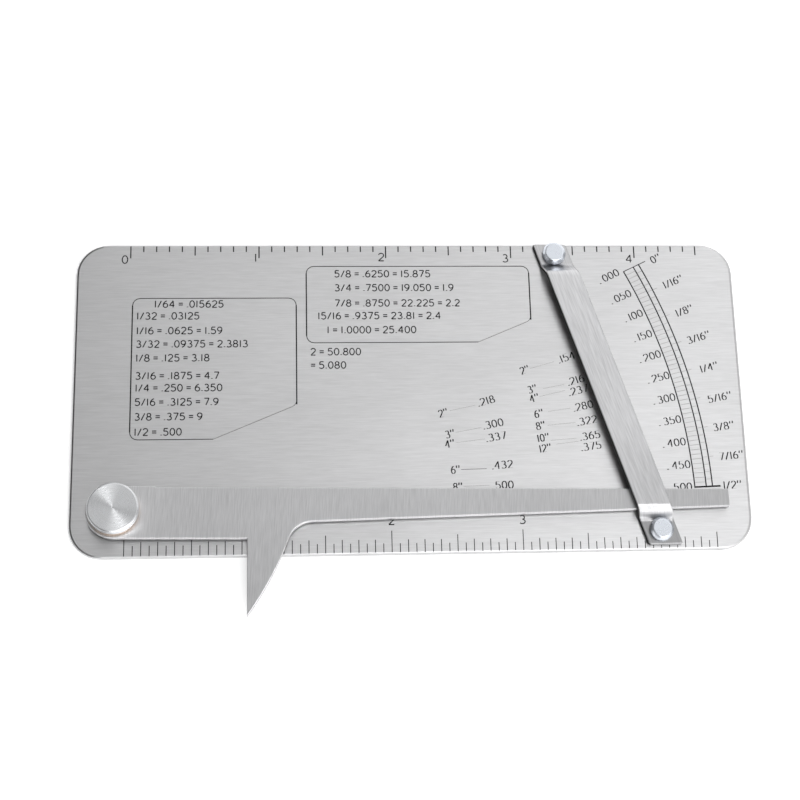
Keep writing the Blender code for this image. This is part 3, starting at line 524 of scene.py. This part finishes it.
def turned_metal(name, colour, roughness, anisotropic, ring_pitch):
    """Turned finish: fine rings about the pivot's upright axis."""
    material, tree, shader = new_metal(name)
    place = object_place(tree)
    centred = vector_node(tree, "SUBTRACT", place, (PIVOT.x, PIVOT.y, 0.0)).outputs["Vector"]
    flat = vector_node(tree, "MULTIPLY", centred, (1.0, 1.0, 0.0)).outputs["Vector"]
    radius = vector_node(tree, "LENGTH", flat).outputs["Value"]
    sockets = {"W": math_node(tree, "MULTIPLY", radius, 1.0 / ring_pitch), "Scale": 1.0, "Detail": 2.0}
    rings = add_node(tree, "ShaderNodeTexNoise", sockets, noise_dimensions="1D").outputs["Fac"]
    tone = math_node(tree, "MULTIPLY_ADD", rings, RING_CONTRAST, 1.0 - RING_CONTRAST / 2)
    tree.links.new(tinted(tree, tuple(colour), tone), shader.inputs["Base Color"])
    rough = remap(tree, rings, 0.3, 0.7, roughness - 0.04, roughness + 0.05)
    tree.links.new(rough, shader.inputs["Roughness"])
    relief = add_node(tree, "ShaderNodeBump", {"Height": rings, "Strength": 0.3, "Distance": 0.01 * MM})
    tree.links.new(relief.outputs["Normal"], shader.inputs["Normal"])
    shader.inputs["Anisotropic"].default_value = anisotropic
    shader.inputs["Anisotropic Rotation"].default_value = 0.25
    tangent = add_node(tree, "ShaderNodeTangent", direction_type="RADIAL", axis="Z")
    tree.links.new(tangent.outputs["Tangent"], shader.inputs["Tangent"])
    return material


def zinc_metal(name, colour):
    """Bright plating with soft spangle."""
    material, tree, shader = new_metal(name)
    place = object_place(tree)
    spangle = noise(tree, place, 0.0, SPANGLE_WAVES)
    tone = math_node(tree, "MULTIPLY_ADD", spangle, 0.06, 0.97)
    tree.links.new(tinted(tree, tuple(colour), tone), shader.inputs["Base Color"])
    tree.links.new(remap(tree, spangle, 0.3, 0.7, 0.26, 0.3), shader.inputs["Roughness"])
    relief = add_node(tree, "ShaderNodeBump", {"Height": spangle, "Strength": 0.02, "Distance": 0.02 * MM})
    tree.links.new(relief.outputs["Normal"], shader.inputs["Normal"])
    return material


def figure_paint(name, colour):
    """Dark filling of engraved strokes, a little uneven."""
    material, tree, shader = new_metal(name)
    shader.inputs["Metallic"].default_value = 0.0
    shader.inputs["Specular IOR Level"].default_value = PAINT_SPECULAR
    patches = noise(tree, object_place(tree), 0.0, PAINT_WAVES)
    tone = math_node(tree, "MULTIPLY_ADD", patches, 0.8, 0.6)
    tree.links.new(tinted(tree, tuple(colour), tone), shader.inputs["Base Color"])
    tree.links.new(remap(tree, patches, 0.3, 0.7, 0.5, 0.7), shader.inputs["Roughness"])
    return material


def dress(node_name, material):
    """Give a piece of the frame its finished material."""
    for slot in NODES[node_name].material_slots:
        slot.material = material


def write_line(strokes, text, place, height, turn, pen, fade=1.0, stretch=1.0, centred=True):
    """Add the strokes of a line of figures. Strokes along the line are thinned by the fade."""
    advances = []
    pen_x = 0.0
    for letter in text:
        advances.append(pen_x)
        pen_x += GLYPHS[letter][0] + GLYPH_GAP
    width = (pen_x - GLYPH_GAP) * stretch * height
    corner = Vector((-width / 2 if centred else 0.0, -height / 2))
    rotation = Matrix.Rotation(turn, 2)
    for letter, advance in zip(text, advances):
        for stroke in GLYPHS[letter][1]:
            flat = [corner + Vector(((advance + x) * stretch, y)) * height for x, y in stroke]
            weights = []
            for index in range(len(flat)):
                run = flat[min(index + 1, len(flat) - 1)] - flat[max(index - 1, 0)]
                steep = abs(run.normalized().y) if run.length > 0.0 else 1.0
                weights.append(fade + (1.0 - fade) * min(1.0, STEEP_WEIGHT * steep))
            points = [rotation @ point + Vector(place) for point in flat]
            strokes.append((points, weights, pen * DOT_WEIGHT if letter == "." else pen))


def select_only(piece):
    bpy.ops.object.select_all(action="DESELECT")
    piece.select_set(True)
    bpy.context.view_layer.objects.active = piece


def stroke_piece(name, strokes, material):
    """Turn strokes into one flat raised piece on the plate's face."""
    curve = bpy.data.curves.new(name, "CURVE")
    curve.dimensions = "3D"
    curve.bevel_mode = "ROUND"
    curve.bevel_resolution = 0
    curve.use_fill_caps = True
    curve.bevel_depth = STROKE_RADIUS
    for points, weights, pen in strokes:
        spline = curve.splines.new("POLY")
        spline.points.add(len(points) - 1)
        for target, point, weight in zip(spline.points, points, weights):
            target.co = (point.x, point.y, 0.0, 1.0)
            target.radius = weight * pen / 2 / STROKE_RADIUS
    piece = bpy.data.objects.new(name, curve)
    bpy.context.scene.collection.objects.link(piece)
    select_only(piece)
    bpy.ops.object.convert(target="MESH")
    piece = bpy.context.view_layer.objects.active
    bpy.ops.object.mode_set(mode="EDIT")
    bpy.ops.mesh.select_all(action="SELECT")
    bpy.ops.mesh.normals_make_consistent(inside=False)
    bpy.ops.transform.resize(value=(1.0, 1.0, STROKE_FLATNESS), center_override=(0.0, 0.0, 0.0))
    bpy.ops.transform.translate(value=(0.0, 0.0, FACE_Z))
    bpy.ops.object.mode_set(mode="OBJECT")
    piece.data.materials.clear()
    piece.data.materials.append(material)
    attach(piece, "base")
    return piece


def tenths_lines():
    """Filling of the top ruler's marks."""
    lines = []
    for tenth in range(RULER_TENTHS + 1):
        x = RULER_START + tenth * INCH / 10
        length = TENTHS_SHORT
        if tenth % 5 == 0:
            length = TENTHS_HALF
        if tenth % 10 == 0:
            length = TENTHS_INCH
        ends = [Vector((x, PLATE_HIGH.y - length)), Vector((x, PLATE_HIGH.y - TENTHS_FROM_EDGE))]
        lines.append((ends, TICK_FILL))
    return lines


def frame_lines():
    """Filling of the upright sides of the two engraved frames."""
    lines = []
    note = (NOTE_LEFT, NOTE_LEFT + NOTE_WIDTH, NOTE_TOP, NOTE_TOP - NOTE_HEIGHT, NOTE_CUT_RISE)
    table = (TABLE_LEFT, TABLE_RIGHT, TABLE_TOP, TABLE_TOP - TABLE_HEIGHT, TABLE_CUT_RISE)
    for left, right, top, bottom, cut_rise in (note, table):
        left_low = Vector((left + FRAME_LINE_HALF, bottom + FRAME_CORNER))
        right_low = Vector((right - FRAME_LINE_HALF, bottom + cut_rise + FRAME_LINE_HALF))
        for low in (left_low, right_low):
            lines.append(([Vector((low.x, top - FRAME_CORNER)), low], LINE_FILL))
    return lines


def curved_scale_lines():
    """Filling of the curved scale's three long lines and of its end line."""
    lines = []
    span = SCALE_TOP_TURN - SCALE_BOTTOM_TURN
    turns = [SCALE_TOP_TURN - span * step / SCALE_STEPS for step in range(SCALE_STEPS + 1)]
    middle = SCALE_OUTER - SCALE_OUTER_BAND
    for radius in (SCALE_OUTER, middle, middle - SCALE_INNER_BAND):
        lines.append(([about_pivot(radius, turn) for turn in turns], LINE_FILL))
    ends = [about_pivot(SCALE_OUTER + reach, SCALE_BOTTOM_TURN) for reach in SCALE_END_REACH]
    lines.append((ends, END_FILL))
    return lines


def scale_turn(reading):
    """Angle of the curved scale at a reading in inches."""
    return SCALE_TOP_TURN - (SCALE_TOP_TURN - SCALE_BOTTOM_TURN) * reading / SCALE_READING


def about_pivot(radius, turn):
    return PIVOT.xy + Vector((math.cos(turn), math.sin(turn))) * radius


def reading_text(thousandths):
    """A decimal reading in inches."""
    return "." + str(thousandths).zfill(3)


def fraction_text(sixteenths):
    """Sixteenths of an inch in lowest terms, with an inch mark."""
    if sixteenths == 0:
        return '0"'
    common = math.gcd(sixteenths, 16)
    return f'{sixteenths // common}/{16 // common}"'


class GAUGE_OT_finish_plate(Operator):
    """Finish the engraved plate"""

    bl_idname = "gauge.finish_plate"
    bl_label = "Finish plate"

    def execute(self, context):
        dress("base_plate", plate_metal(context.scene.gauge_finish))
        return {"FINISHED"}


class GAUGE_OT_finish_arm(Operator):
    """Finish the pointer arm"""

    bl_idname = "gauge.finish_arm"
    bl_label = "Finish pointer arm"

    def execute(self, context):
        dress("pointer_arm", arm_metal(context.scene.gauge_finish))
        return {"FINISHED"}


class GAUGE_OT_finish_strap(Operator):
    """Finish the guide strap"""

    bl_idname = "gauge.finish_strap"
    bl_label = "Finish guide strap"

    def execute(self, context):
        dress("guide_strap", strap_metal(context.scene.gauge_finish))
        return {"FINISHED"}


class GAUGE_OT_finish_stud(Operator):
    """Finish the turned stud and its two washers"""

    bl_idname = "gauge.finish_stud"
    bl_label = "Finish stud and washers"

    def execute(self, context):
        finish = context.scene.gauge_finish
        stud = turned_metal("stud_turned", finish.stud_colour, roughness=0.3, anisotropic=0.85,
                            ring_pitch=0.09 * MM)
        bronze = turned_metal("bronze_turned", finish.bronze_colour, roughness=0.3, anisotropic=0.3,
                              ring_pitch=0.2 * MM)
        washer = turned_metal("washer_steel_turned", finish.strap_colour, roughness=0.35, anisotropic=0.3,
                              ring_pitch=0.2 * MM)
        dress("pivot_stud", stud)
        dress("upper_washer", bronze)
        dress("lower_washer", washer)
        return {"FINISHED"}


def turned_piece(name, centre, rings):
    """Solid raised ring by ring from its lowest disc. A ring is a radius and a height."""
    bpy.ops.object.select_all(action="DESELECT")
    radius, height = rings[0]
    bpy.ops.mesh.primitive_circle_add(vertices=TURNED_SIDES, radius=radius, fill_type="NGON",
                                      location=(centre.x, centre.y, height))
    piece = bpy.context.view_layer.objects.active
    piece.name = name
    bpy.ops.object.mode_set(mode="EDIT")
    bpy.ops.mesh.select_all(action="SELECT")
    for above_radius, above_height in rings[1:]:
        rise = (0.0, 0.0, above_height - height)
        bpy.ops.mesh.extrude_region_move(TRANSFORM_OT_translate={"value": rise})
        ratio = above_radius / radius
        middle = (centre.x, centre.y, above_height)
        bpy.ops.transform.resize(value=(ratio, ratio, 1.0), center_override=middle)
        radius, height = above_radius, above_height
    bpy.ops.mesh.select_all(action="SELECT")
    bpy.ops.mesh.normals_make_consistent(inside=False)
    bpy.ops.object.mode_set(mode="OBJECT")
    bpy.ops.object.transform_apply(location=True, rotation=True, scale=True)
    bevel = piece.modifiers.new("edges", "BEVEL")
    bevel.limit_method = "ANGLE"
    bevel.angle_limit = math.radians(20.0)
    bevel.width = TURNED_EDGE
    bevel.segments = 3
    bpy.ops.object.modifier_apply(modifier=bevel.name)
    bpy.ops.object.shade_smooth_by_angle(angle=math.radians(30.0))
    return piece


class GAUGE_OT_rivets(Operator):
    """Turn the two plated rivets, each with a flat, a conical shoulder and a countersunk tail"""

    bl_idname = "gauge.rivets"
    bl_label = "Make rivets"

    def execute(self, context):
        colour = context.scene.gauge_finish.zinc_colour
        for side, centre in (("upper", RIVET_UPPER), ("lower", RIVET_LOWER)):
            low, high = (corner.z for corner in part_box("rivet_" + side))
            seat = high - RIVET_HEAD_HEIGHT
            rings = (
                (RIVET_TAIL_RADIUS - RIVET_FLAT_RIM, low),
                (RIVET_TAIL_RADIUS, low),
                (RIVET_SHANK_RADIUS, RIVET_TAIL_DEPTH),
                (RIVET_SHANK_RADIUS, seat),
                (RIVET_HEAD_RADIUS, seat),
                (RIVET_HEAD_RADIUS, high - RIVET_SHOULDER_HEIGHT),
                (RIVET_FLAT_RADIUS, high),
                (RIVET_FLAT_RADIUS - RIVET_FLAT_RIM, high),
            )
            piece = turned_piece("plated_rivet_" + side, centre, rings)
            piece.data.materials.append(zinc_metal("zinc_plate_" + side, colour))
            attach(piece, "base")
            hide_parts("rivet_" + side)
        return {"FINISHED"}


class GAUGE_OT_ruler_figures(Operator):
    """Engrave the inch figures of both rulers"""

    bl_idname = "gauge.ruler_figures"
    bl_label = "Engrave ruler figures"

    def execute(self, context):
        figures = context.scene.gauge_figures
        strokes = []
        for inch, shift, y in TOP_FIGURES + LOWER_FIGURES:
            place = (RULER_START + inch * INCH + shift * MM, y * MM)
            write_line(strokes, str(inch), place, figures.ruler_height, 0.0, figures.pen_width,
                       stretch=RULER_STRETCH)
        paint = figure_paint("ruler_paint", context.scene.gauge_finish.paint_colour)
        stroke_piece("ruler_figures", strokes, paint)
        return {"FINISHED"}


class GAUGE_OT_scale_figures(Operator):
    """Engrave the figures on both sides of the curved scale"""

    bl_idname = "gauge.scale_figures"
    bl_label = "Engrave curved scale figures"

    def execute(self, context):
        figures = context.scene.gauge_figures
        strokes = []
        for step, shift in enumerate(THOUSANDTHS_SHIFTS):
            thousandths = step * THOUSANDTHS_STEP
            turn = scale_turn(thousandths / 1000)
            place = about_pivot(THOUSANDTHS_RADIUS * MM, turn) + Vector(shift) * MM
            text = reading_text(thousandths).replace(".", ". ")
            write_line(strokes, text, place, figures.scale_height, turn, figures.scale_pen_width,
                       fade=RADIAL_FADE, stretch=READING_STRETCH)
        for sixteenths, shift in enumerate(SIXTEENTHS_SHIFTS):
            turn = scale_turn(sixteenths / 16)
            place = about_pivot(SIXTEENTHS_RADIUS * MM, turn) + Vector(shift) * MM
            write_line(strokes, fraction_text(sixteenths), place, figures.scale_height, turn,
                       figures.scale_pen_width, fade=RADIAL_FADE, stretch=FRACTION_STRETCH)
        paint = figure_paint("scale_paint", context.scene.gauge_finish.paint_colour)
        stroke_piece("scale_figures", strokes, paint)
        return {"FINISHED"}


class GAUGE_OT_line_filling(Operator):
    """Fill the deepest lines of the top ruler, the frames and the curved scale"""

    bl_idname = "gauge.line_filling"
    bl_label = "Fill deep lines"

    def execute(self, context):
        lines = tenths_lines() + frame_lines() + curved_scale_lines()
        strokes = [(points, [1.0] * len(points), width) for points, width in lines]
        filling = figure_paint("line_filling", context.scene.gauge_finish.paint_colour)
        stroke_piece("line_fillings", strokes, filling)
        return {"FINISHED"}


class GAUGE_OT_wall_rows(Operator):
    """Engrave the two columns of readings with their thin leader lines"""

    bl_idname = "gauge.wall_rows"
    bl_label = "Engrave wall rows"

    def execute(self, context):
        figures = context.scene.gauge_figures
        strokes = []
        for size, size_place, thousandths, place, line_start, line_end in HEAVY_ROWS + STANDARD_ROWS:
            turn = scale_turn(thousandths / 1000)
            write_line(strokes, size + '"', Vector(size_place) * MM, figures.scale_height, turn,
                       figures.scale_pen_width, fade=RADIAL_FADE)
            write_line(strokes, reading_text(thousandths), Vector(place) * MM, figures.scale_height, turn,
                       figures.scale_pen_width, fade=RADIAL_FADE, stretch=WALL_STRETCH)
            ends = [Vector(line_start) * MM, Vector(line_end) * MM]
            width = LEADER_HEAVY if thousandths == HEAVY_LEADER_READING else LEADER_FAINT
            strokes.append((ends, [1.0, 1.0], width))
        paint = figure_paint("wall_paint", context.scene.gauge_finish.paint_colour)
        stroke_piece("wall_rows", strokes, paint)
        return {"FINISHED"}


class GAUGE_OT_conversion_rows(Operator):
    """Engrave the rows of equal lengths in and below the two frames"""

    bl_idname = "gauge.conversion_rows"
    bl_label = "Engrave conversion rows"

    def execute(self, context):
        figures = context.scene.gauge_figures
        for name, rows in (("note_rows", NOTE_ROWS), ("table_rows", TABLE_ROWS)):
            strokes = []
            for x, y, text in rows:
                write_line(strokes, text, (x * MM, y * MM), figures.row_height, 0.0, figures.pen_width,
                           stretch=ROW_STRETCH, centred=False)
            paint = figure_paint(name + "_paint", context.scene.gauge_finish.paint_colour)
            stroke_piece(name, strokes, paint)
        return {"FINISHED"}


# Camera fitted to the photograph: its place and its axes in the gauge's frame
CAMERA_PLACE = (-23.19 * MM, -123.70 * MM, 373.26 * MM)
CAMERA_RIGHT = (0.994657, -0.039936, 0.095193)
CAMERA_UP = (0.005508, 0.941356, 0.337371)
CAMERA_BACK = (-0.103084, -0.335044, 0.936546)
CAMERA_LENS = 89.377
CAMERA_SHIFT = (-0.125, -0.0625)
FLOOR_SIZE = 4.0
FLOOR_DROP = 0.1 * MM

# The tent's brightness over the direction's X and over its Y, and the lamp in it
TENT_ACROSS = (
    (-0.95, 0.4), (-0.75, 0.25), (-0.5, 0.05), (-0.2, 0.12), (-0.13, 0.91), (-0.03, 0.93), (0.06, 0.86),
    (0.14, 0.92), (0.175, 1.0), (0.21, 1.26), (0.26, 1.42), (0.4, 1.35), (0.55, 0.9),
)
TENT_ALONG = (
    (-0.9, 2.0), (-0.5, 1.7), (-0.12, 1.3), (-0.02, 0.4), (0.13, 0.4), (0.25, 1.0), (0.6, 1.05),
    (0.75, 1.1),
)
TENT_HIGHEST = 2.0
LAMP_TOWARD = (0.14, -0.17, 0.975)
LAMP_INNER = 0.1
LAMP_OUTER = 0.16


def add_camera():
    data = bpy.data.cameras.new("photo_camera")
    data.sensor_width = 36.0
    data.lens = CAMERA_LENS
    data.shift_x, data.shift_y = CAMERA_SHIFT
    data.clip_start = 0.01
    data.clip_end = 20.0
    camera = bpy.data.objects.new("photo_camera", data)
    turned = Matrix((CAMERA_RIGHT, CAMERA_UP, CAMERA_BACK)).transposed().to_4x4()
    camera.matrix_world = Matrix.Translation(CAMERA_PLACE) @ turned
    bpy.context.scene.collection.objects.link(camera)
    bpy.context.scene.camera = camera


def floor_material(studio):
    """Pale matt floor that glows a little where the camera or a reflection sees it."""
    material = bpy.data.materials.new("floor_white")
    material.use_nodes = True
    tree = material.node_tree
    tree.nodes.clear()
    grain = add_node(tree, "ShaderNodeTexNoise", {"Vector": object_place(tree), "Scale": 900.0})
    tone = math_node(tree, "MULTIPLY_ADD", grain.outputs["Fac"], 0.01, 0.995)
    colour = tinted(tree, tuple(studio.floor_colour), tone)
    matt = add_node(tree, "ShaderNodeBsdfDiffuse", {"Color": colour})
    rays = add_node(tree, "ShaderNodeLightPath")
    seen = math_node(tree, "MAXIMUM", rays.outputs["Is Camera Ray"], rays.outputs["Is Glossy Ray"])
    seen = math_node(tree, "MAXIMUM", seen, rays.outputs["Is Transmission Ray"])
    strength = math_node(tree, "MULTIPLY", seen, studio.floor_glow)
    glow = add_node(tree, "ShaderNodeEmission", {"Strength": strength})
    both = add_node(tree, "ShaderNodeAddShader", {0: matt.outputs[0], 1: glow.outputs[0]})
    add_node(tree, "ShaderNodeOutputMaterial", {"Surface": both.outputs[0]})
    return material


def profile(tree, value, stops):
    """A level that follows stops, each a place from -1 to 1 and a level up to the highest."""
    ramp = add_node(tree, "ShaderNodeValToRGB", {"Fac": remap(tree, value, -1.0, 1.0, 0.0, 1.0)})
    ramp.color_ramp.interpolation = "EASE"
    elements = ramp.color_ramp.elements
    elements.remove(elements[1])
    elements[0].position = 0.0
    for place, level in stops:
        element = elements.new((place + 1.0) / 2)
        share = level / TENT_HIGHEST
        element.color = (share, share, share, 1.0)
    elements[0].color = elements[1].color
    return math_node(tree, "MULTIPLY", ramp.outputs["Color"], TENT_HIGHEST)


def studio_world(studio):
    """Soft tent and one round lamp: dark low down at the left, brighter in front and at the right."""
    world = bpy.data.worlds.new("studio")
    world.use_nodes = True
    bpy.context.scene.world = world
    tree = world.node_tree
    tree.nodes.clear()
    toward = add_node(tree, "ShaderNodeTexCoord").outputs["Generated"]
    axes = add_node(tree, "ShaderNodeSeparateXYZ", {"Vector": toward}).outputs
    across = profile(tree, axes["X"], TENT_ACROSS)
    along = profile(tree, axes["Y"], TENT_ALONG)
    tent = math_node(tree, "MULTIPLY", math_node(tree, "MULTIPLY", across, along), studio.tent_level)
    aim = Vector(LAMP_TOWARD).normalized()
    closeness = vector_node(tree, "DOT_PRODUCT", toward, aim).outputs["Value"]
    rim, core = math.cos(LAMP_OUTER), math.cos(LAMP_INNER)
    lamp = remap(tree, closeness, rim, core, 0.0, studio.lamp_level, smooth=True)
    level = math_node(tree, "ADD", tent, lamp)
    rays = add_node(tree, "ShaderNodeLightPath")
    shown = add_node(tree, "ShaderNodeMix", {0: rays.outputs["Is Camera Ray"], 2: level, 3: 1.0},
                     data_type="FLOAT").outputs[0]
    background = add_node(tree, "ShaderNodeBackground", {"Color": (1.0, 1.0, 1.0, 1.0), "Strength": shown})
    add_node(tree, "ShaderNodeOutputWorld", {"Surface": background.outputs[0]})


class GAUGE_OT_stage(Operator):
    """Set up the floor, the studio light and the camera"""

    bl_idname = "gauge.stage"
    bl_label = "Set the stage"

    def execute(self, context):
        studio = context.scene.gauge_studio
        context.scene.view_settings.view_transform = "Standard"
        bpy.ops.object.select_all(action="DESELECT")
        bpy.ops.mesh.primitive_plane_add(size=FLOOR_SIZE, location=(0.0, 0.0, -FLOOR_DROP))
        floor = context.view_layer.objects.active
        floor.name = "floor"
        floor.data.materials.append(floor_material(studio))
        studio_world(studio)
        add_camera()
        return {"FINISHED"}


class GAUGE_PT_panel(Panel):
    """The gauge's sizes, colours and steps"""

    bl_idname = "GAUGE_PT_panel"
    bl_label = "Weld gauge"
    bl_space_type = "VIEW_3D"
    bl_region_type = "UI"
    bl_category = "Weld gauge"

    def draw(self, context):
        for group in (context.scene.gauge_finish, context.scene.gauge_figures, context.scene.gauge_studio):
            column = self.layout.column()
            for name in group.__annotations__:
                column.prop(group, name)
        for step in OPERATORS:
            self.layout.operator(step.bl_idname)


GROUPS = {"gauge_finish": GaugeFinish, "gauge_figures": GaugeFigures, "gauge_studio": GaugeStudio}
OPERATORS = (
    GAUGE_OT_finish_plate,
    GAUGE_OT_finish_arm,
    GAUGE_OT_finish_strap,
    GAUGE_OT_finish_stud,
    GAUGE_OT_rivets,
    GAUGE_OT_ruler_figures,
    GAUGE_OT_scale_figures,
    GAUGE_OT_line_filling,
    GAUGE_OT_wall_rows,
    GAUGE_OT_conversion_rows,
    GAUGE_OT_stage,
)


def register():
    for item in (*GROUPS.values(), *OPERATORS, GAUGE_PT_panel):
        bpy.utils.register_class(item)
    for name, group in GROUPS.items():
        setattr(bpy.types.Scene, name, PointerProperty(type=group))


def unregister():
    for name in GROUPS:
        delattr(bpy.types.Scene, name)
    for item in reversed((*GROUPS.values(), *OPERATORS, GAUGE_PT_panel)):
        bpy.utils.unregister_class(item)


def main():
    register()
    for step in OPERATORS:
        group, name = step.bl_idname.split(".")
        getattr(getattr(bpy.ops, group), name)()


if __name__ == "__main__":
    main()
